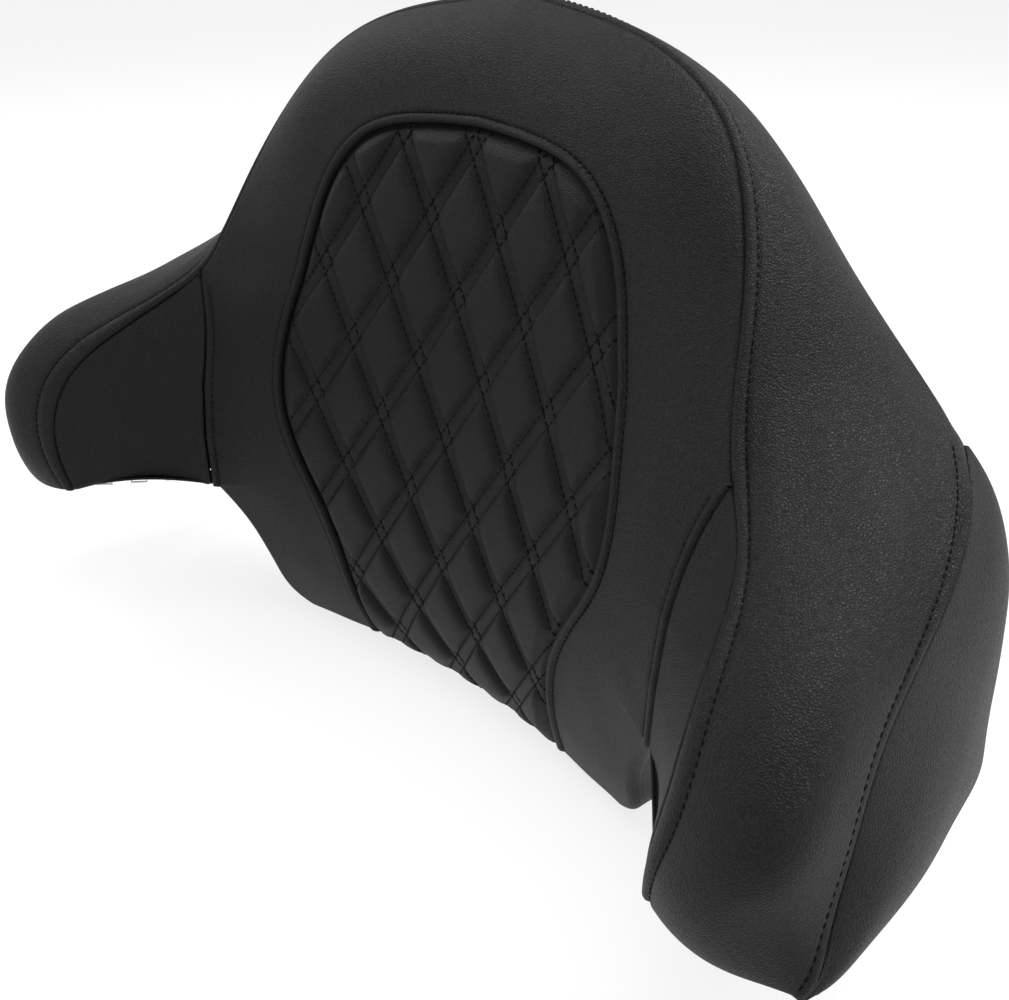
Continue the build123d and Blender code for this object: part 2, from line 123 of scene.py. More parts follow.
def spline(points, count):
    """count points, evenly spaced by length, on the smooth curve through points."""
    p = np.array(points, float)
    knots = np.concatenate([[0], np.cumsum(np.linalg.norm(np.diff(p, axis=0), axis=1))])
    n, h = len(p), np.diff(knots)
    matrix, right = np.zeros((n, n)), np.zeros_like(p)
    matrix[0, 0] = matrix[-1, -1] = 1
    for i in range(1, n - 1):
        matrix[i, i - 1:i + 2] = h[i - 1], 2 * (h[i - 1] + h[i]), h[i]
        right[i] = 6 * ((p[i + 1] - p[i]) / h[i] - (p[i] - p[i - 1]) / h[i - 1])
    bend = np.linalg.solve(matrix, right)
    u = np.linspace(0, knots[-1], 24 * n)
    i = np.clip(np.searchsorted(knots, u, side="right") - 1, 0, n - 2)
    a, b, w = (knots[i + 1] - u)[:, None], (u - knots[i])[:, None], h[i][:, None]
    dense = (bend[i] * a**3 + bend[i + 1] * b**3) / (6 * w)
    dense += (p[i] / w - bend[i] * w / 6) * a + (p[i + 1] / w - bend[i + 1] * w / 6) * b
    return even(dense, count)


def even(line, count):
    """The line again with count points, evenly spaced by length."""
    along = lengths(line)
    want = np.linspace(0, along[-1], count)
    return np.stack([np.interp(want, along, line[:, k]) for k in range(line.shape[1])], axis=1)


def lengths(line):
    return np.concatenate([[0], np.cumsum(np.linalg.norm(np.diff(line, axis=0), axis=1))])


def smooth_step(value):
    value = np.clip(value, 0, 1)
    return value * value * (3 - 2 * value)


def unit(v):
    return v / np.maximum(np.linalg.norm(v, axis=-1, keepdims=True), 1e-9)


PROFILE_LINE = spline(PROFILE, 400)
ARCH_LINE = spline(ARCH, 60)
FACE_HOLLOW = 9.5e-4      # how fast the face comes forward away from the centre line
FACE_REACH_TOP = 130.0    # from the centre line to where that levels off, in the arch
FACE_REACH_LOW = 400.0    # the same between the wings
RIM_ROLL = 20.0           # how far the face rolls back at the arch's edge
RIM_WIDTH = 14.0
WING_SWEEP = 8.0          # how far it comes forward more at the wings' seams
WING_SEAM_X = 195.0


def line_gap(x, z, line):
    """Distance of points from a line in the X, Z plane."""
    start, step = line[:-1], np.diff(line, axis=0)
    best = np.full(np.shape(x), 1e9)
    for (px, pz), (dx, dz) in zip(start, step):
        part = np.clip(((x - px) * dx + (z - pz) * dz) / (dx * dx + dz * dz), 0, 1)
        best = np.minimum(best, (x - px - part * dx) ** 2 + (z - pz - part * dz) ** 2)
    return np.sqrt(best)


def face_y(x, z):
    """The passenger face: hollow across, swept forward towards the wings, rolled back at the arch."""
    x = np.abs(x)
    reach = FACE_REACH_TOP + (FACE_REACH_LOW - FACE_REACH_TOP) * smooth_step((70 - z) / 90)
    hollow = FACE_HOLLOW * reach**2 * (1 - np.exp(-(x / reach) ** 2))
    gap = line_gap(x, z, ARCH_LINE)
    rim = RIM_ROLL * np.exp(-gap / RIM_WIDTH) * smooth_step((z - 80) / 110)
    sweep = WING_SWEEP * (x / WING_SEAM_X) ** 4 * smooth_step((z + 130) / 60) * smooth_step((120 - z) / 50)
    return np.interp(z, PROFILE_LINE[:, 0], PROFILE_LINE[:, 1]) - hollow - sweep + rim


def on_face(xz):
    """Points on the passenger face above (X, Z) points."""
    x, z = xz[..., 0], xz[..., 1]
    return np.stack([x, face_y(x, z), z], axis=-1)


def face_normals(x, z, step=0.5):
    """Directions away from the passenger face, towards the passenger."""
    slope_x = (face_y(x + step, z) - face_y(x - step, z)) / (2 * step)
    slope_z = (face_y(x, z + step) - face_y(x, z - step)) / (2 * step)
    return unit(np.stack([slope_x, -np.ones_like(x), slope_z], axis=-1))


def face_seam(count_arch, count_wing):
    """The seam round the face, from the top centre to the wing's foot."""
    arch = [tuple(p) for p in on_face(np.array(ARCH, float))]
    line = spline(arch + list(WING_EDGE), 2000)
    split = np.argmin(np.linalg.norm(line - np.array(arch[-1]), axis=1))
    return even(line[:split + 1], count_arch), even(line[split:], count_wing)


# ---------------------------------------------------------------- meshes
COVER = 2.4               # thickness of the cover's skin
NEAR_SEAM = (0, 0.5, 1.1, 1.8, 2.6, 3.5, 4.4, 5.2, 6.0, 6.8, 7.8, 9.5, 12, 15)
STITCH_ROW = 8            # the row of NEAR_SEAM that carries the topstitching
OUTER_ROW = 5             # the same beside the wings' outer seams, where the stitches run close to the seam
FINE = (0.6, 1.3, 2.2, 3.2, 4.4, 5.8, 7.5, 9.5)
PITCH = 4.2               # stitch length with its gap
THREAD = 0.5              # radius of the thread
STITCH = 3.3              # visible length of one stitch
STITCH_END = 5.0          # the band's stitches stop this far from its foot
HEADING_REACH = 0.8       # a stitch's direction is taken between points this far either side


def sample(line, fractions):
    """Points at these fractions of the line's length."""
    along = lengths(line)
    places = fractions * along[-1]
    return np.stack([np.interp(places, along, line[:, k]) for k in range(line.shape[1])], axis=1)


def section(line, start, end):
    """The part of the line between the points nearest to start and end."""
    i, j = (int(np.argmin(np.linalg.norm(line - np.array(p, float), axis=1))) for p in (start, end))
    return line[i:j + 1] if i <= j else line[j:i + 1][::-1]


def fractions(length, step, fine_start=False, fine_end=False):
    """Fractions of a length, about step apart, closer together at a fine end."""
    head = [0, *FINE] if fine_start else [0]
    tail = [length - d for d in reversed(FINE)] + [length] if fine_end else [length]
    count = max(2, round((tail[0] - head[-1]) / step))
    middle = np.linspace(head[-1], tail[0], count + 1)
    return np.concatenate([head[:-1], middle, tail[1:]]) / length


def between(first, last, middle):
    """Rows of points from one line to the other, dense beside both, with their distances from each."""
    width = np.maximum(np.linalg.norm(last - first, axis=1), 0.4)[:, None]
    near = np.array(NEAR_SEAM)
    lead = near * np.minimum(1, 0.42 * width / near[-1]) / width
    tail = 1 - lead[:, ::-1]
    rest = lead[:, -1:] + (tail[:, :1] - lead[:, -1:]) * np.linspace(0, 1, middle + 2)[1:-1]
    part = np.concatenate([lead, rest, tail], axis=1)
    grid = first[:, None] + (last - first)[:, None] * part[..., None]
    return grid, part, part * width, (1 - part) * width


def normals(grid, towards):
    """Unit normals of a grid of points, on the side of the direction or directions given."""
    n = unit(np.cross(np.gradient(grid, axis=0), np.gradient(grid, axis=1)))
    return n * np.sign(np.sum(n * towards))


def both_halves(half):
    """The mirrored half followed by the half itself, which starts on the centre plane."""
    if half.ndim == 3:
        return np.concatenate([(half * (-1, 1, 1))[::-1], half[1:]])
    return np.concatenate([half[::-1], half[1:]])


def eased(grid, across, weight, rounds):
    """The grid smoothed along its length where weight is near 1, its two edges held."""
    amount = 0.5 * np.minimum(1, 2.2 * np.sin(math.pi * across[1:-1])) * weight[1:-1, None]
    for _ in range(rounds):
        middle = (grid[:-2] + grid[2:]) / 2
        grid[1:-1] += (middle - grid[1:-1]) * amount[..., None]
    return grid


def tuck(distance, depth=2.0, radius=2.4):
    """How far a panel's edge rolls down into its seam."""
    inner = 1 - np.clip(distance / radius, 0, 1)
    return -depth * (1 - np.sqrt(1 - inner**2))


def topstitched(distance, along, ridge=0.9, groove=1.0, row=STITCH_ROW):
    """The raised allowance between a seam and its topstitching, and the dimpled groove under the stitches."""
    line = NEAR_SEAM[row]
    swell = ridge * np.sin(math.pi * np.clip(distance / line, 0, 1)) ** 0.8
    pull = 0.75 + 0.25 * np.cos(2 * math.pi * along / PITCH)
    return swell - groove * pull * np.exp(-((distance - line) / 0.9) ** 2)


def ripple(grid, seed, size=46.0, height=0.5):
    """A slight unevenness of the foam under the cover."""
    rng = np.random.default_rng(seed)
    total = np.zeros(grid.shape[:-1])
    for turn in range(5):
        wave = unit(rng.normal(size=3)) * 2 * math.pi / (size * (0.7 + 0.25 * turn))
        total += np.sin(grid @ wave + rng.uniform(0, 2 * math.pi))
    return total * height / 5


def grid_faces(index):
    """Quads between neighbours in a grid of vertex numbers."""
    return np.stack([index[:-1, :-1], index[1:, :-1], index[1:, 1:], index[:-1, 1:]], axis=-1).reshape(-1, 4)


def new_mesh(name, points, quads, material):
    """A smooth-shaded object from points in millimetres and quads."""
    mesh = bpy.data.meshes.new(name)
    mesh.vertices.add(len(points))
    mesh.vertices.foreach_set("co", (points * MM).astype(np.float32).ravel())
    mesh.loops.add(quads.size)
    mesh.loops.foreach_set("vertex_index", quads.astype(np.int32).ravel())
    mesh.polygons.add(len(quads))
    mesh.polygons.foreach_set("loop_start", np.arange(0, quads.size, 4, dtype=np.int32))
    mesh.update(calc_edges=True)
    mesh.polygons.foreach_set("use_smooth", np.ones(len(quads), bool))
    mesh.materials.append(material)
    made = bpy.data.objects.new(name, mesh)
    bpy.context.collection.objects.link(made)
    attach(made, "root")
    return made


def skin(name, grid, outward, material, thickness=COVER, closed=False):
    """A solid sheet whose outer face is the grid; when closed, its last row meets its first."""
    rows, columns = grid.shape[:2]
    inner = grid - outward * thickness
    points = np.concatenate([grid.reshape(-1, 3), inner.reshape(-1, 3)])
    index = np.arange(rows * columns).reshape(rows, columns)
    shift = rows * columns
    edges = []
    if closed:
        index = np.concatenate([index, index[:1]])
    else:
        edges += [index[0, ::-1], index[-1]]
    edges += [index[:, 0], index[::-1, -1]]
    outer = grid_faces(index)
    quads = [outer, outer[:, ::-1] + shift]
    for edge in edges:
        quads.append(np.stack([edge[:-1], edge[:-1] + shift, edge[1:] + shift, edge[1:]], axis=-1))
    quads = np.concatenate(quads)
    a, b, d = (points[quads[0, k]] for k in (0, 1, 3))
    facing = np.cross(b - a, d - a) @ outward.reshape(-1, 3)[quads[0, 0]]
    return new_mesh(name, points, quads if facing > 0 else quads[:, ::-1], material)


def thread_run(line, outward, bed=0.1):
    """Where each stitch of a row goes: its middle, its direction and the direction away from the cover."""
    along = lengths(line)
    count = max(1, int(along[-1] / PITCH))
    middle = (np.arange(count) + 0.5) * along[-1] / count
    line = line + outward * bed

    def at(places, rows):
        return np.stack([np.interp(places, along, rows[:, k]) for k in range(3)], axis=1)

    ahead = at(middle + HEADING_REACH, line) - at(middle - HEADING_REACH, line)
    return at(middle, line), unit(ahead), unit(at(middle, outward))


def stitches(name, runs, material):
    """Stitches along several rows, each a short rounded length of thread bedded in the cover."""
    places, headings, outs = (np.concatenate([run[k] for run in runs]) for k in range(3))
    sides = unit(np.cross(headings, outs))
    outs = np.cross(sides, headings)
    around = 6
    tip, shoulder, crown = (1.0, 0.35, -0.45), (0.8, 0.85, -0.1), (0.3, 1.0, 0.12)
    rings = [(-a, w, lift) for a, w, lift in (tip, shoulder, crown)] + [crown, shoulder, tip]
    points = []
    for along, width, lift in rings:
        centre = places + headings * along * STITCH / 2 + outs * lift
        for turn in np.arange(around) * 2 * math.pi / around:
            points.append(centre + (sides * math.cos(turn) + outs * math.sin(turn)) * THREAD * width)
    points = np.stack(points, axis=1)
    quads = []
    for ring in range(len(rings) - 1):
        for k in range(around):
            a, b = ring * around + k, ring * around + (k + 1) % around
            quads.append((a, b, b + around, a + around))
    last = (len(rings) - 1) * around
    quads += [(3, 2, 1, 0), (5, 4, 3, 0)]
    quads += [(last, last + 1, last + 2, last + 3), (last, last + 3, last + 4, last + 5)]
    per = len(rings) * around
    every = (np.array(quads)[None] + np.arange(len(places))[:, None, None] * per).reshape(-1, 4)
    return new_mesh(name, points.reshape(-1, 3), every, material)


# ---------------------------------------------------------------- materials
def node_material(name):
    made = bpy.data.materials.new(name)
    made.use_nodes = True
    shader = made.node_tree.nodes["Principled BSDF"]
    return made, made.node_tree, shader


def add(tree, kind, **values):
    """A shader node with some of its properties and input numbers set."""
    made = tree.nodes.new(kind)
    for key, value in values.items():
        if hasattr(made, key):
            setattr(made, key, value)
        else:
            made.inputs[key.replace("_", " ")].default_value = value
    return made


def ramp(tree, source, low, high, start=0.0, end=1.0):
    """The source value turned into a colour between low and high."""
    made = add(tree, "ShaderNodeValToRGB")
    for element, colour, place in zip(made.color_ramp.elements, (low, high), (start, end)):
        element.color = (*colour, 1)
        element.position = place
    tree.links.new(source, made.inputs[0])
    return made.outputs[0]


def remap(tree, source, low, high, start=0.0, end=1.0):
    made = add(tree, "ShaderNodeMapRange", From_Min=start, From_Max=end, To_Min=low, To_Max=high)
    tree.links.new(source, made.inputs["Value"])
    return made.outputs["Result"]


def vinyl(name, dark, light, grain, depth, roughness):
    """Pebbled black vinyl; grain is a pebble's size and depth that of its creases, in metres."""
    made, tree, shader = node_material(name)
    place = add(tree, "ShaderNodeTexCoord").outputs["Object"]
    warp = add(tree, "ShaderNodeTexNoise", Scale=0.35 / grain, Detail=2.0)
    tree.links.new(place, warp.inputs["Vector"])
    mixed = add(tree, "ShaderNodeVectorMath", operation="MULTIPLY_ADD")
    mixed.inputs[1].default_value = (grain * 1.1,) * 3
    tree.links.new(warp.outputs["Color"], mixed.inputs[0])
    tree.links.new(place, mixed.inputs[2])
    cells = add(tree, "ShaderNodeTexVoronoi", feature="DISTANCE_TO_EDGE", Scale=1 / grain, Randomness=0.95)
    tree.links.new(mixed.outputs[0], cells.inputs["Vector"])
    fine = add(tree, "ShaderNodeTexNoise", Scale=4 / grain, Detail=3.0)
    tree.links.new(place, fine.inputs["Vector"])
    broad = add(tree, "ShaderNodeTexNoise", Scale=9.0, Detail=3.0)
    tree.links.new(place, broad.inputs["Vector"])
    pebble = remap(tree, cells.outputs["Distance"], 0.0, 1.0, 0.0, 0.28)
    height = add(tree, "ShaderNodeMath", operation="MULTIPLY_ADD")
    height.inputs[1].default_value = 0.22
    tree.links.new(fine.outputs["Fac"], height.inputs[0])
    tree.links.new(pebble, height.inputs[2])
    shader.inputs["Specular IOR Level"].default_value = 0.2
    bump = add(tree, "ShaderNodeBump", Strength=1.0, Distance=depth)
    tree.links.new(height.outputs[0], bump.inputs["Height"])
    tree.links.new(bump.outputs[0], shader.inputs["Normal"])
    colour = ramp(tree, broad.outputs["Fac"], dark, light, 0.3, 0.75)
    # Painted shade: the colour is darkened in the grain's creases, and the pebble tops are left lighter.
    crease_shade = add(tree, "ShaderNodeMix", data_type="RGBA", blend_type="MULTIPLY")
    crease_shade.inputs["Factor"].default_value = 0.75
    tree.links.new(colour, crease_shade.inputs["A"])
    tree.links.new(ramp(tree, pebble, (0.45, 0.45, 0.46), (1, 1, 1), 0.0, 0.6), crease_shade.inputs["B"])
    tree.links.new(crease_shade.outputs["Result"], shader.inputs["Base Color"])
    tree.links.new(remap(tree, pebble, roughness + 0.14, roughness), shader.inputs["Roughness"])
    return made


def moulded(name, colour, roughness, grain=0.0006, depth=0.00006):
    """Moulded plastic or rubber with a fine sparked texture."""
    made, tree, shader = node_material(name)
    place = add(tree, "ShaderNodeTexCoord").outputs["Object"]
    fine = add(tree, "ShaderNodeTexNoise", Scale=1 / grain, Detail=3.0)
    broad = add(tree, "ShaderNodeTexNoise", Scale=14.0, Detail=4.0)
    for texture in (fine, broad):
        tree.links.new(place, texture.inputs["Vector"])
    bump = add(tree, "ShaderNodeBump", Strength=0.8, Distance=depth)
    tree.links.new(fine.outputs["Fac"], bump.inputs["Height"])
    tree.links.new(bump.outputs[0], shader.inputs["Normal"])
    lighter = tuple(c * 1.5 for c in colour)
    tree.links.new(ramp(tree, broad.outputs["Fac"], colour, lighter, 0.35, 0.7), shader.inputs["Base Color"])
    uneven = remap(tree, broad.outputs["Fac"], roughness - 0.06, roughness + 0.08)
    tree.links.new(uneven, shader.inputs["Roughness"])
    return made


def metal(name, colour, roughness):
    """Plated or drawn metal with faint scratches and tarnish."""
    made, tree, shader = node_material(name)
    place = add(tree, "ShaderNodeTexCoord").outputs["Object"]
    tarnish = add(tree, "ShaderNodeTexNoise", Scale=160.0, Detail=5.0)
    scratch = add(tree, "ShaderNodeTexNoise", Scale=1400.0, Detail=2.0, Distortion=0.6)
    for texture in (tarnish, scratch):
        tree.links.new(place, texture.inputs["Vector"])
    shader.inputs["Metallic"].default_value = 1.0
    duller = tuple(c * 0.7 for c in colour)
    tree.links.new(ramp(tree, tarnish.outputs["Fac"], duller, colour, 0.3, 0.6), shader.inputs["Base Color"])
    dulled = remap(tree, tarnish.outputs["Fac"], roughness + 0.15, roughness)
    tree.links.new(dulled, shader.inputs["Roughness"])
    bump = add(tree, "ShaderNodeBump", Strength=0.3, Distance=0.00005)
    tree.links.new(scratch.outputs["Fac"], bump.inputs["Height"])
    tree.links.new(bump.outputs[0], shader.inputs["Normal"])
    return made


def thread_material():
    """Bonded black thread, twisted."""
    made, tree, shader = node_material("thread")
    place = add(tree, "ShaderNodeTexCoord").outputs["Object"]
    twist = add(tree, "ShaderNodeTexWave", Scale=900.0, Distortion=1.5, bands_direction="DIAGONAL")
    tree.links.new(place, twist.inputs["Vector"])
    bump = add(tree, "ShaderNodeBump", Strength=0.6, Distance=0.0001)
    tree.links.new(twist.outputs["Fac"], bump.inputs["Height"])
    tree.links.new(bump.outputs[0], shader.inputs["Normal"])
    colour = ramp(tree, twist.outputs["Fac"], (0.002, 0.002, 0.002), (0.007, 0.007, 0.0075))
    tree.links.new(colour, shader.inputs["Base Color"])
    shader.inputs["Roughness"].default_value = 0.8
    shader.inputs["Specular IOR Level"].default_value = 0.1
    return made


VINYL = vinyl("cover_vinyl", (0.007, 0.007, 0.0077), (0.011, 0.011, 0.012), 0.0014, 0.00024, 0.44)
QUILTED_VINYL = vinyl(
    "cover_vinyl_quilted", (0.006, 0.006, 0.0065), (0.010, 0.010, 0.0105), 0.0012, 0.00017, 0.47,
)
HEM_VINYL = vinyl("cover_vinyl_hem", (0.006, 0.006, 0.007), (0.010, 0.010, 0.011), 0.0015, 0.00016, 0.5)
PLASTIC = moulded("moulded_plastic", (0.012, 0.012, 0.013), 0.5)
RUBBER = moulded("rubber", (0.010, 0.010, 0.010), 0.72)
ZINC = metal("zinc_steel", (0.62, 0.63, 0.65), 0.3)
BRASS = metal("brass", (0.72, 0.53, 0.25), 0.26)
WIRE = metal("wire", (0.5, 0.5, 0.52), 0.32)
THREAD_BLACK = thread_material()


# ---------------------------------------------------------------- the cover
BOTTOM = -189.0           # lower edge of the centre pad
EDGE_ROLL = 5.5           # radius at which the face turns under the pad
ROW_GAP = 4.0             # each quilting line is two rows of stitches, this far to either side
QUILT_ACROSS = 26.55      # half the width of a quilted diamond
QUILT_DOWN = 40.0         # half its height, along the cover
QUILT_TOP = 150.0         # height from which the diamonds are counted
QUILT_RISE = 4.4          # height of a diamond's middle above its sewn lines
QUILT_CORNER = (92, 138)  # where the panel's top border turns into its side, (X, Z)
FOOT_RISE = 5.0           # of the wing's inner lower edge
FOOT_ROLL = 4.0           # radius at which the wing's panels turn in at its foot
REAR_ROLL = 3.0           # radius at which the cover turns round the board's edge

BORDER_LINE = spline(BORDER, 600)
BORDER_COARSE = even(BORDER_LINE, 90)
ARCH_SEAM, WING_FRONT = face_seam(600, 400)
WING_LINE = on_face(spline(WING_SEAM, 300))
# Y at even steps down the seam between face and wing, from the shoulder.
WING_DEPTHS = (ARCH_SEAM[-1, 1], -119, -128, -132, -132)
WING_LINE[:, 1] = np.interp(np.linspace(0, 1, 300), np.linspace(0, 1, len(WING_DEPTHS)), WING_DEPTHS)
ROOT_LINE = on_face(spline(ROOT, 300))


def roll_under(grid, outward, gap, radius=EDGE_ROLL):
    """Points within radius of an edge, turned in on a quarter circle; gap is their distance from the edge."""
    near = 1 - np.clip(gap / radius, 0, 1)
    return grid - outward * (radius * (1 - np.sqrt(1 - np.minimum(near, 0.999) ** 2)))[..., None]


def quilt_place(x, z):
    """Where a point of the quilted panel lies in the pattern, across and down, in half diamonds."""
    line = PROFILE_LINE[::-1]
    down = np.concatenate([[0], np.cumsum(np.hypot(np.diff(line[:, 0]), np.diff(line[:, 1])))])
    level = np.interp(-z, -line[:, 0], down) - np.interp(-QUILT_TOP, -line[:, 0], down)
    return x / QUILT_ACROSS, level / QUILT_DOWN - 3


def quilt_height(across, down):
    """Height of the quilting above its sewn lines."""
    to_mm = 1 / math.hypot(1 / QUILT_ACROSS, 1 / QUILT_DOWN)
    pillow, groove = 1.0, 0.0
    for phase in (across + down, across - down):
        gap = np.abs(np.mod(phase, 2) - 1) * to_mm
        pillow = pillow * (1 - np.exp(-np.clip(gap - ROW_GAP, 0, None) / 2.8))
        groove = groove + np.exp(-((gap - ROW_GAP) / 1.1) ** 2)
    return QUILT_RISE * pillow - 0.7 * np.minimum(groove, 1.4)


def quilted_surface(x, z):
    """Points of the quilted panel's outer face, and the directions away from it."""
    base = on_face(np.stack([x, z], axis=-1))
    outward = face_normals(x, z)
    gap = line_gap(np.abs(x), z, BORDER_COARSE)
    fade = smooth_step((gap - 1.5) / 9) * (0.25 + 0.75 * smooth_step((z - BOTTOM) / 22))
    height = quilt_height(*quilt_place(x, z)) * fade - 2.6 * (1 - smooth_step(gap / 5))
    return roll_under(base + outward * height[..., None], outward, z - BOTTOM), outward


def quilted_cover():
    """The panel of double-stitched diamonds, between its two borders, the top arch and the lower edge."""
    side = section(BORDER_LINE, BORDER[-1], QUILT_CORNER)
    top = section(BORDER_LINE, BORDER[0], QUILT_CORNER)
    up = fractions(lengths(side)[-1], 1.35, fine_start=True)
    right = sample(side, up)
    arch = np.concatenate([(top * (-1, 1))[::-1], top[1:]])
    over = np.linspace(0, 1, 190)
    top_row = sample(arch, over)
    bottom_row = np.stack([right[0, 0] * (2 * over - 1), np.full_like(over, BOTTOM)], axis=1)
    left = right * (-1, 1)
    u, v = over[None, :, None], up[:, None, None]
    flat = (1 - v) * bottom_row + v * top_row + (1 - u) * left[:, None] + u * right[:, None]
    bottom_chord = (1 - u) * bottom_row[0] + u * bottom_row[-1]
    top_chord = (1 - u) * top_row[0] + u * top_row[-1]
    flat -= (1 - v) * bottom_chord + v * top_chord
    grid, _ = quilted_surface(flat[..., 0], flat[..., 1])
    piece = skin("quilted_cover", grid, normals(grid, (0, -1, 0)), QUILTED_VINYL)
    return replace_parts(piece, "quilted_panel", "quilt_foam")


def quilting_runs():
    """The rows of stitches that sew the diamonds."""
    z = np.linspace(BOTTOM + 1, 159, 900)
    runs = []
    to_mm = 1 / math.hypot(1 / QUILT_ACROSS, 1 / QUILT_DOWN)
    _, down = quilt_place(np.zeros_like(z), z)
    for lean in (1, -1):
        for number in range(-13, 15, 2):
            for side in (-ROW_GAP, ROW_GAP):
                x = lean * (number + side / to_mm - down) * QUILT_ACROSS
                limit = np.interp(z, BORDER_LINE[::-1, 1], BORDER_LINE[::-1, 0])
                inside = np.abs(x) < limit - 1
                if inside.sum() < 12:
                    continue
                points, outward = quilted_surface(x[inside][None], z[inside][None])
                runs.append(thread_run(points[0], outward[0], bed=0.15))
    return runs


def front_surround():
    """The plain panel round the quilting, out to the arch's seam, the wings' seams and the lower edge."""
    outer_parts = (ROOT_LINE[::-1], WING_LINE[::-1], ARCH_SEAM[::-1])
    marks = (BORDER[11], BORDER[8], BORDER[5], BORDER[0])
    inner_rows, outer_rows, wing, root = [], [], [], []
    for k, outer in enumerate(outer_parts):
        inner = section(BORDER_LINE, marks[k], marks[k + 1])
        part = fractions(lengths(outer)[-1], 1.5, fine_start=k == 0)
        part = part if k == 2 else part[:-1]
        inner_rows.append(on_face(sample(inner, part)))
        outer_rows.append(sample(outer, part))
        shoulder = (1 - part) * lengths(outer)[-1]
        wing.append((k == 1) * smooth_step(shoulder / 18))
        root.append(np.full(len(part), float(k == 0)))
    inner, outer = np.concatenate(inner_rows)[::-1], np.concatenate(outer_rows)[::-1]
    wing, root = np.concatenate(wing)[::-1], np.concatenate(root)[::-1]
    grid, part, from_inner, from_outer = between(inner, outer, 22)
    grid = on_face(grid[..., [0, 2]])
    error = outer[:, 1] - grid[:, -1, 1]
    grid[..., 1] += error[:, None] * smooth_step(1 - from_outer / 40)
    grid = both_halves(grid)
    part, from_inner, from_outer = both_halves(part), both_halves(from_inner), both_halves(from_outer)
    wing, root = both_halves(wing)[:, None], both_halves(root)[:, None]
    outward = face_normals(grid[..., 0], grid[..., 2])
    along_inner = lengths(grid[:, STITCH_ROW])[:, None]
    along_outer = lengths(grid[:, -1 - STITCH_ROW])[:, None]
    height = topstitched(from_inner, along_inner, ridge=1.6) + tuck(from_inner, 1.6, 1.6)
    height += wing * topstitched(from_outer, along_outer, ridge=1.0) + (1 - root) * tuck(from_outer)
    height += ripple(grid, 3) * np.sin(math.pi * part) + 0.8 * np.sin(math.pi * part) ** 2
    grid = grid + outward * height[..., None]
    low = np.minimum(grid[..., 2] - BOTTOM, np.where(root > 0, from_outer, 99))
    grid = roll_under(grid, outward, np.maximum(low, 0))
    piece = skin("front_surround", grid, outward, VINYL)
    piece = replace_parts(piece, "front_panel", "quilt_border_ridge", "foam_core")
    runs = [thread_run(grid[:, STITCH_ROW], outward[:, STITCH_ROW])]
    sewn = np.flatnonzero(wing[:, 0] > 0.5)
    for side in (sewn[sewn < len(grid) // 2], sewn[sewn > len(grid) // 2]):
        runs.append(thread_run(grid[side, -1 - STITCH_ROW], outward[side, -1 - STITCH_ROW]))
    return runs


def sided(side):
    return "right" if side > 0 else "left"


def foot_arc(points):
    """The wing's inner lower edge rises a little between its ends."""
    along = lengths(points) / lengths(points)[-1]
    return points + np.outer(FOOT_RISE * np.sin(math.pi * along), (0, 0, 1))


def wing_inner(side):
    """The panel on a wing's inner face, between the wing's seam and the seam along its front edge."""
    part = fractions(lengths(WING_FRONT)[-1], 1.7, fine_end=True)
    part[0] = 0.012
    first, last = sample(WING_LINE, part), sample(WING_FRONT, part)
    grid, across, from_first, from_last = between(first, last, 16)
    grid[..., 2] += FOOT_RISE * np.sin(math.pi * across) * smooth_step((part[:, None] - 0.5) / 0.5)
    outward = normals(grid, (-1, -0.4, 0))
    hollow = 5.0 * np.sin(math.pi * across) * smooth_step(part / 0.5)[:, None]
    height = tuck(from_first, 2.2, 2.2) + tuck(from_last) - hollow + 0.6 * ripple(grid, 11)
    grid = grid + outward * height[..., None]
    outward = normals(grid, (-1, -0.4, 0))
    left = (1 - part)[:, None] * lengths(WING_FRONT)[-1] + np.zeros_like(across)
    grid = roll_under(grid, outward, left, FOOT_ROLL)
    flip = np.array((side, 1, 1))
    name = sided(side)
    piece = skin(f"wing_inner_{name}", grid * flip, outward * flip, VINYL)
    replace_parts(piece, f"wing_inner_panel_{name}", f"wing_seam_ridge_{name}", f"wing_foam_{name}")


BAND_MIDDLE = (0, -40, 60)  # a point inside the band, to tell its outer side
# How much the band swells, (distance past the shoulder along the face's seam, height).
WING_SWELL = ((-60, 9), (0, 9), (27, 13), (72, 26), (110, 35), (136, 37), (162, 27), (196, 9))


def band_edges():
    """The face's whole seam on the right half, and the band's outer edge across from it."""
    seam = np.concatenate([ARCH_SEAM[:-1], WING_FRONT])
    rear = np.insert(spline(REAR_EDGE, 400), 1, REAR, axis=1)
    outer_seam = spline(OUTER_SEAM, 800)
    start = np.argmin(np.linalg.norm(rear - outer_seam[0], axis=1))
    edge = np.concatenate([rear[:start], outer_seam])
    pairs = []
    for (x, z), (far_x, far_z) in ARCH_ACROSS:
        i = np.argmin(np.hypot(seam[:, 0] - x, seam[:, 2] - z))
        j = np.argmin(np.hypot(edge[:, 0] - far_x, edge[:, 2] - far_z))
        pairs.append((lengths(seam)[i], lengths(edge)[j]))
    for near, far in WING_ACROSS:
        i = np.argmin(np.linalg.norm(seam - near, axis=1))
        j = np.argmin(np.linalg.norm(edge - far, axis=1))
        pairs.append((lengths(seam)[i], lengths(edge)[j]))
    pairs = np.array(sorted(pairs))
    pairs[0], pairs[-1] = 0, (lengths(seam)[-1], lengths(edge)[-1])
    return seam, edge, pairs


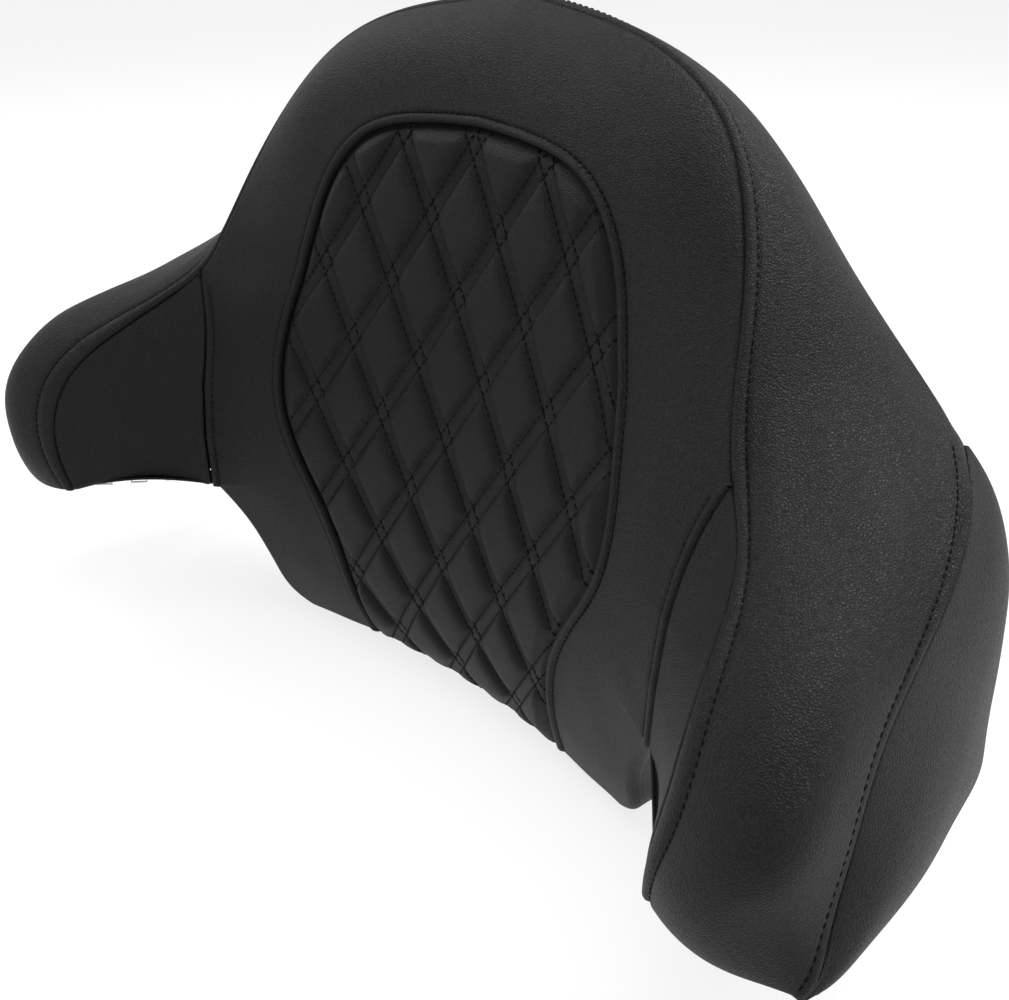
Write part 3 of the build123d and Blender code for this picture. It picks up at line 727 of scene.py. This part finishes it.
def side_band():
    """The band from the face's seam back to the rear edge and out to the wings' outer seams, puffed up.

    Returns its rows of stitches, and its lower row on each wing.
    """
    seam, edge, pairs = band_edges()
    part = fractions(lengths(seam)[-1], 1.8, fine_end=True)
    first = sample(seam, part)
    matched = spline(pairs, 400)
    far = np.interp(part * lengths(seam)[-1], matched[:, 0], matched[:, 1])
    last = sample(edge, far / lengths(edge)[-1])
    grid, across, from_first, from_last = between(first, last, 30)
    grid, across = both_halves(grid), both_halves(across)
    from_first, from_last = both_halves(from_first), both_halves(from_last)
    distance = both_halves(part * lengths(seam)[-1])[:, None]
    neck = lengths(ARCH_SEAM)[-1]
    swell = spline([(0, 3), (120, 4)] + [(neck + past, height) for past, height in WING_SWELL], 400)
    puff = np.interp(distance, swell[:, 0], swell[:, 1])
    outward = normals(grid, grid - BAND_MIDDLE)
    grid = grid + outward * (puff * np.sin(math.pi * across) ** 0.8)[..., None]
    grid = eased(grid, across, np.exp(-((distance[:, 0] - neck - 4) / 48) ** 2), 700)
    outward = normals(grid, grid - BAND_MIDDLE)
    sewn = smooth_step((np.abs(grid[:, -1, 0]) - 250) / 10)[:, None] * np.ones_like(across)
    along_first = lengths(grid[:, STITCH_ROW])[:, None]
    along_last = lengths(grid[:, -1 - OUTER_ROW])[:, None]
    height = topstitched(from_first, along_first, ridge=1.0) + tuck(from_first)
    outer_edge = topstitched(from_last, along_last, ridge=0.3, groove=0.8, row=OUTER_ROW)
    foot = lengths(seam)[-1] - distance
    height += sewn * smooth_step(foot / 8) * (outer_edge + tuck(from_last, 0.5, 1.1))
    height += ripple(grid, 7, height=0.7) * np.sin(math.pi * across)
    grid = grid + outward * height[..., None]
    feet = {"right": grid[-1].copy(), "left": grid[0].copy()}
    left = lengths(seam)[-1] - distance + np.zeros_like(across)
    rolled = roll_under(grid, outward, left, FOOT_ROLL)
    grid = grid + (rolled - grid) * smooth_step(from_last / 6)[..., None]
    rolled = roll_under(grid, outward, from_last, REAR_ROLL)
    grid = grid + (rolled - grid) * (1 - sewn)[..., None]
    piece = skin("side_band_cover", grid, outward, VINYL)
    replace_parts(piece, "side_band", "face_edge_ridge")
    kept = left[:, 0] > STITCH_END
    runs = [thread_run(grid[kept, STITCH_ROW], outward[kept, STITCH_ROW])]
    sewn_rows = np.flatnonzero((sewn[:, 0] > 0.9) & kept)
    for side in (sewn_rows[sewn_rows < len(grid) // 2], sewn_rows[sewn_rows > len(grid) // 2]):
        runs.append(thread_run(grid[side, -1 - OUTER_ROW], outward[side, -1 - OUTER_ROW]))
    return runs, feet


def outer_side(side):
    """The smooth panel on a wing's outer face, from its seam down to the rear edge and the underside."""
    seam = spline(OUTER_SEAM, 800)
    rear = section(np.insert(spline(REAR_EDGE, 400), 1, REAR, axis=1), seam[0], SIDE_FOOT[0])
    foot = spline(SIDE_FOOT, 400)
    lower = np.concatenate([rear[:-1], foot])
    part = fractions(lengths(lower)[-1], 2.0, fine_end=True)
    first, last = sample(seam, part), sample(lower, part)
    first, last = first[2:-3], last[2:-3]
    grid, across, from_first, from_last = between(first, last, 20)
    outward = normals(grid, (1, 0.1, 0))
    width = (from_first + from_last)[:, :1]
    bulge = 10.0 * np.sin(math.pi * across) ** 0.9 * (1 - np.exp(-width / 50))
    grid = grid + outward * bulge[..., None]
    grid = eased(grid, across, np.ones(len(grid)), 60)
    wide = smooth_step(width / 14)[..., None]
    outward = unit(normals(grid, (1, 0.1, 0)) * wide + np.array((1, -0.1, 0.1)) * (1 - wide))
    height = tuck(from_first, 0.5, 1.1) + 0.8 * ripple(grid, 21) * np.sin(math.pi * across)
    grid = grid + outward * height[..., None]
    rolled = roll_under(grid, outward, from_last, REAR_ROLL)
    grid = grid + (rolled - grid) * smooth_step(from_first / 6)[..., None]
    flip = np.array((side, 1, 1))
    name = sided(side)
    piece = skin(f"outer_side_{name}", grid * flip, outward * flip, VINYL)
    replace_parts(piece, f"outer_side_panel_{name}", f"outer_seam_ridge_{name}")


def lower_outline():
    """The centre pad's lower outline, (X, Z), from the left wing's root to the right one's."""
    right = spline(ROOT, 260)[::-1]
    base = np.stack([np.linspace(-right[0, 0], right[0, 0], 160), np.full(160, BOTTOM)], axis=1)
    return np.concatenate([(right * (-1, 1))[::-1], base[1:-1], right])


def lower_wrap():
    """The strip under the centre pad, from the rolled lower edge of the face back to the rear edge."""
    line = lower_outline()
    line = sample(line, fractions(lengths(line)[-1], 2.2))
    front = on_face(line)
    front[:, 1] += EDGE_ROLL - 1.5
    back = front.copy()
    back[:, 1] = REAR
    part = np.concatenate([[0, 0.01, 0.03], np.linspace(0.06, 0.96, 26), [0.98, 1]])
    grid = front[:, None] + (back - front)[:, None] * part[None, :, None]
    inside = (0, -60, -60)
    outward = normals(grid, grid - inside)
    height = 2.2 * np.sin(math.pi * part) + ripple(grid, 31, height=0.8)
    grid = roll_under(grid + outward * height[..., None], outward, REAR - grid[..., 1], REAR_ROLL)
    tucked = 1.2 * (1 - smooth_step((grid[..., 1] - front[:, 1:2]) / 3))
    grid = grid - outward * tucked[..., None]
    piece = skin("lower_wrap_cover", grid, normals(grid, grid - inside), VINYL)
    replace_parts(piece, "lower_wrap")


HEM = 22.0                # width of the cover's margin folded over an edge
HEM_STEP = 2.4            # between points along a hem


def in_plane_normals(loop, axis):
    """Directions in the loop's plane, pointing into it."""
    ahead = np.roll(loop, -2, axis=0) - np.roll(loop, 2, axis=0)
    inward = unit(np.cross(axis, ahead))
    middle = loop.mean(axis=0)
    return inward * np.sign(np.sum(inward * (middle - loop)))


def folded_hem(name, loop, axis, lie, node):
    """The cover's gathered margin, which comes round a board's edge on a small fold."""
    axis = np.array(axis, float)
    ring = np.concatenate([loop, loop[:1]])
    loop = sample(ring, fractions(lengths(ring)[-1], HEM_STEP))[:-1]
    for _ in range(4):
        loop = (np.roll(loop, 1, axis=0) + loop + np.roll(loop, -1, axis=0)) / 3
    inward = in_plane_normals(loop, axis)
    for _ in range(14):
        inward = unit(inward + 0.5 * (np.roll(inward, 1, axis=0) + np.roll(inward, -1, axis=0)))
    profile = [(2.6, -1.8), (2.9, -0.9), (3.5, -0.3), (4.4, 0.0)]
    profile += [(w, 0.0) for w in np.linspace(5.6, HEM, 12)]
    along = np.arange(len(loop)) * HEM_STEP
    fold = 0.35 * np.sin(along / 3.1 + 1.5 * np.sin(along / 41)) + 0.25 * np.sin(along / 7.7)
    rows = []
    for width, level in profile:
        rise = lie + level + fold * 0.8 * smooth_step((width - 3) / 12)
        rows.append(loop + inward * width + axis * rise[:, None])
    grid = np.stack(rows, axis=1)
    outward = normals(grid, axis)
    piece = skin(name, grid, outward, HEM_VINYL, thickness=1.2, closed=True)
    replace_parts(piece, node)


def rear_loop():
    """The rear edge all the way round, at the board's rear plane."""
    top = spline(REAR_EDGE, 300)
    root = spline(ROOT, 200)
    wing = np.linspace(REAR_EDGE[-1], ROOT[0], 60)
    right = np.concatenate([top, wing[1:], root[1:]])
    loop = np.concatenate([right, (right * (-1, 1))[::-1][:-1]])
    return np.insert(loop, 1, REAR, axis=1)


def wing_foot_loop(side, foot):
    """The outline of a wing's underside, foot being the band's lower row."""
    nose = even(foot * (side, 1, 1), 90)
    parts = [nose, spline(SIDE_FOOT, 160)[::-1]]
    # Both inner corners keep a little inside the cover.
    rear_corner = np.array((ROOT[0][0] - 2, REAR, ROOT[0][1]), float)
    inner_corner = WING_LINE[-1] - (3, 0, 0)
    parts.append(np.linspace(SIDE_FOOT[0], rear_corner, 60))
    parts.append(np.linspace(rear_corner, inner_corner, 60))
    parts.append(foot_arc(np.linspace(inner_corner, nose[0], 50)))
    return np.concatenate([part[:-1] for part in parts]) * (side, 1, 1)


# The CAD tray's distances from the centre plane, and where the looks have them; then the same for Y.
TRAY_ACROSS = ((0, 285, 325), (0, 285, 316))
TRAY_ALONG = ((-200, -150, 0), (-192, -150, 0))
TRAY_RAISE = 8.5          # of the tray's inner side, falling to nothing at its outer one
TRAY_WIDTH = 126.0


def tray_shell(side):
    """The tray under a wing, drawn in at its front and outer side and raised at its inner one."""
    name = sided(side)
    mesh = bpy.data.objects[f"wing_tray_{name}"].data.copy()
    points = np.empty(len(mesh.vertices) * 3, np.float32)
    mesh.vertices.foreach_get("co", points)
    x, y, z = points.reshape(-1, 3).T / MM
    x = np.sign(x) * np.interp(np.abs(x), *TRAY_ACROSS)
    y = np.interp(y, *TRAY_ALONG)
    z = z + TRAY_RAISE * (TRAY_ACROSS[1][-1] - np.abs(x)) / TRAY_WIDTH
    mesh.vertices.foreach_set("co", (np.stack([x, y, z], axis=1) * MM).astype(np.float32).ravel())
    mesh.materials.clear()
    mesh.materials.append(PLASTIC)
    piece = bpy.data.objects.new(f"tray_shell_{name}", mesh)
    bpy.context.collection.objects.link(piece)
    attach(piece, "root")
    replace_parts(piece, f"wing_tray_{name}")


def finish_cad(nodes):
    """Procedural finishes on the CAD parts that show."""
    finish = {
        "base_board": PLASTIC, "tray_screws": ZINC, "rivets": ZINC,
        "reinforcement_strap_right": ZINC, "reinforcement_strap_left": ZINC,
        "threaded_inserts": BRASS, "rubber_bumpers": RUBBER, "staples": WIRE, "hog_rings": WIRE,
        "listing_wire_right": WIRE, "listing_wire_left": WIRE,
    }
    for name, material in finish.items():
        piece = nodes[name]
        piece.data.materials.clear()
        piece.data.materials.append(material)


# ---------------------------------------------------------------- setting
def floor(level):
    """A wide pale floor at the object's lowest point."""
    size, steps = 6.0, 24
    line = np.linspace(-size, size, steps + 1) / MM
    x, y = np.meshgrid(line, line, indexing="ij")
    points = np.stack([x, y, np.full_like(x, level / MM)], axis=-1).reshape(-1, 3)
    made, _, shader = node_material("floor_paint")
    shader.inputs["Base Color"].default_value = (0.25, 0.25, 0.25, 1)
    shader.inputs["Roughness"].default_value = 0.85
    shader.inputs["Emission Color"].default_value = (1, 1, 1, 1)
    shader.inputs["Emission Strength"].default_value = 0.8
    mesh = bpy.data.meshes.new("floor")
    index = np.arange(len(points)).reshape(steps + 1, steps + 1)
    mesh.from_pydata((points * MM).tolist(), [], grid_faces(index).tolist())
    mesh.materials.append(made)
    piece = bpy.data.objects.new("floor", mesh)
    bpy.context.collection.objects.link(piece)


def soft_box(name, place, target, size, power):
    """A large soft light at place, facing target."""
    light = bpy.data.lights.new(name, "AREA")
    light.shape = "RECTANGLE"
    light.size, light.size_y = size
    light.energy = power
    made = bpy.data.objects.new(name, light)
    bpy.context.collection.objects.link(made)
    made.location = place
    aim = np.array(target) - np.array(place)
    made.rotation_mode = "QUATERNION"
    made.rotation_quaternion = Vector(aim).to_track_quat("-Z", "Y")


def lighting():
    """Soft lights, and a world that is brighter towards the horizon."""
    bpy.context.scene.view_settings.view_transform = "Standard"
    world = bpy.data.worlds.new("studio")
    bpy.context.scene.world = world
    world.use_nodes = True
    tree = world.node_tree
    sky = tree.nodes["Background"]
    sky.inputs["Color"].default_value = (1, 1, 1, 1)
    split = add(tree, "ShaderNodeSeparateXYZ")
    tree.links.new(add(tree, "ShaderNodeTexCoord").outputs["Generated"], split.inputs[0])
    tree.links.new(remap(tree, split.outputs["Z"], 0.8, 0.25, 0.05, 0.42), sky.inputs["Strength"])
    middle = (0.0, -0.1, 0.0)
    soft_box("overhead", (0.3, -0.2, 1.9), middle, (1.6, 1.6), 24)
    soft_box("rear_top", (0.75, 1.2, 1.6), middle, (1.8, 0.9), 44)
    soft_box("left_side", (-1.6, -0.2, 1.4), middle, (1.2, 1.2), 18)


def camera():
    """The photograph's viewpoint."""
    data = bpy.data.cameras.new("camera")
    data.lens, data.sensor_width = 42.07, 36.0
    made = bpy.data.objects.new("camera", data)
    bpy.context.collection.objects.link(made)
    made.matrix_world = Matrix((
        (0.7016, -0.3364, 0.6281, 0.4541),
        (0.7125, 0.3312, -0.6185, -0.4883),
        (0.0, 0.8815, 0.4721, 0.2758),
        (0, 0, 0, 1),
    ))
    bpy.context.scene.camera = made


def build():
    quilted_cover()
    stitches("quilting_stitches", quilting_runs(), THREAD_BLACK)
    stitches("face_stitches", front_surround(), THREAD_BLACK)
    runs, feet = side_band()
    stitches("band_stitches", runs, THREAD_BLACK)
    for side in (1, -1):
        name = sided(side)
        wing_inner(side)
        outer_side(side)
        tray_shell(side)
        folded_hem(f"wing_hem_{name}", wing_foot_loop(side, feet[name]), (0, 0, -1), 0.0, f"under_hem_{name}")
    lower_wrap()
    folded_hem("rear_fold", rear_loop(), (0, 1, 0), 1.5, "rear_hem")


build()
finish_cad({o.name: o for o in bpy.data.objects if "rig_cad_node" in o})
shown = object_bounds()
floor(shown[0].z)
lighting()
camera()
